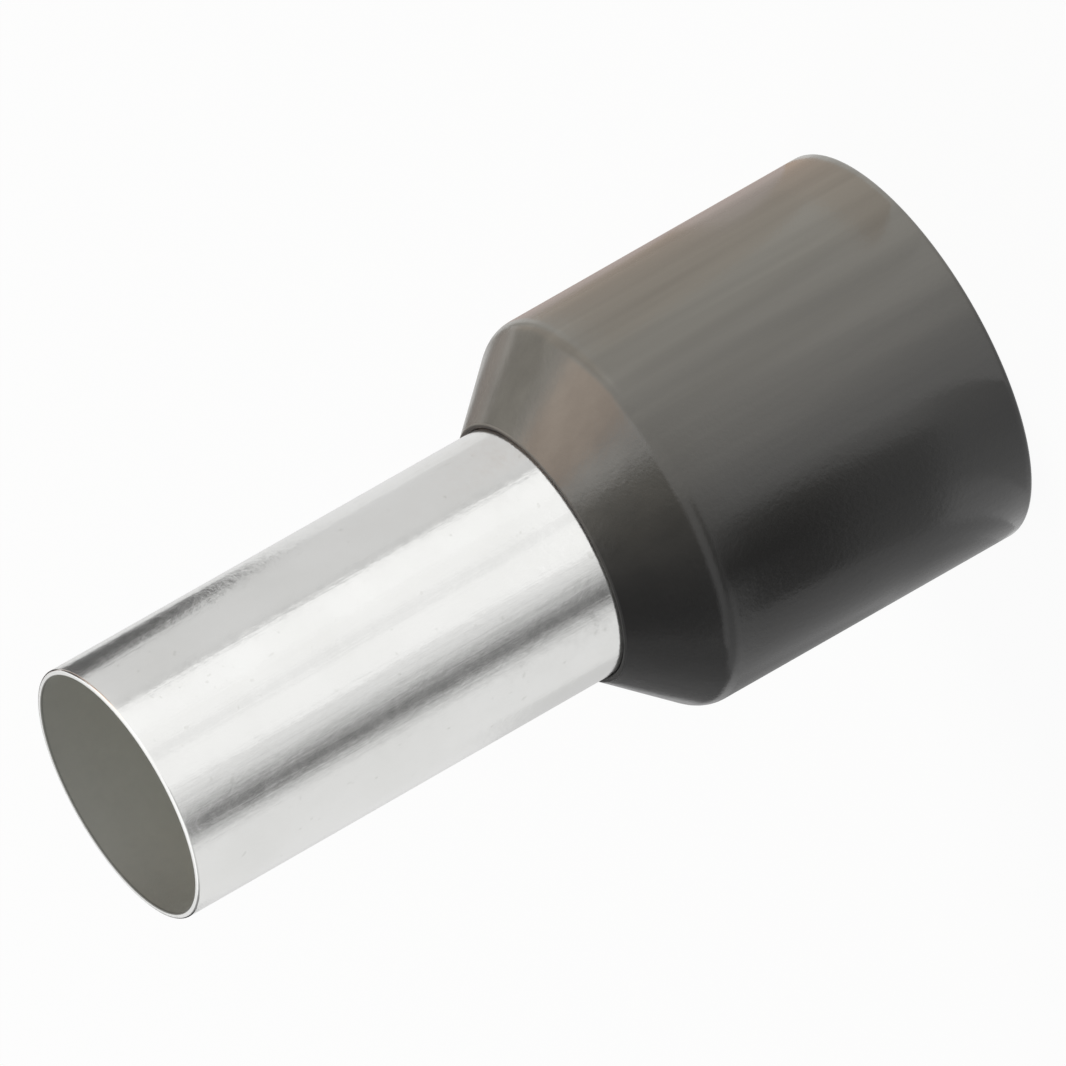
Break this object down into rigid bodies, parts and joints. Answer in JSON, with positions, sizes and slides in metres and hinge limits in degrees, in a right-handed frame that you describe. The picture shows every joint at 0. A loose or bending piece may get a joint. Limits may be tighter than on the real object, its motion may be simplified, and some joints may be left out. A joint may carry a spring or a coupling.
{
  "type": "wire ferrule",
  "caption": "Insulated wire-end ferrule: a thin tinned copper sleeve, open at both ends, whose funnel is held inside the conical shoulder of a moulded plastic collar.",
  "frame": {"origin": "centre of the collar's rim, on the surface that the ferrule stands on", "axes": "+Z along the ferrule's axis, from the collar's rim to the sleeve's mouth; X and Y are any two directions square to it"},
  "size_m": [0.0136, 0.0136, 0.03],
  "materials": {
    "tinned_copper": "gloss",
    "collar_plastic": "satin"
  },
  "bodies": {
    "root": {"sleeve": "tinned_copper", "collar": "collar_plastic"}
  },
  "joints": []
}
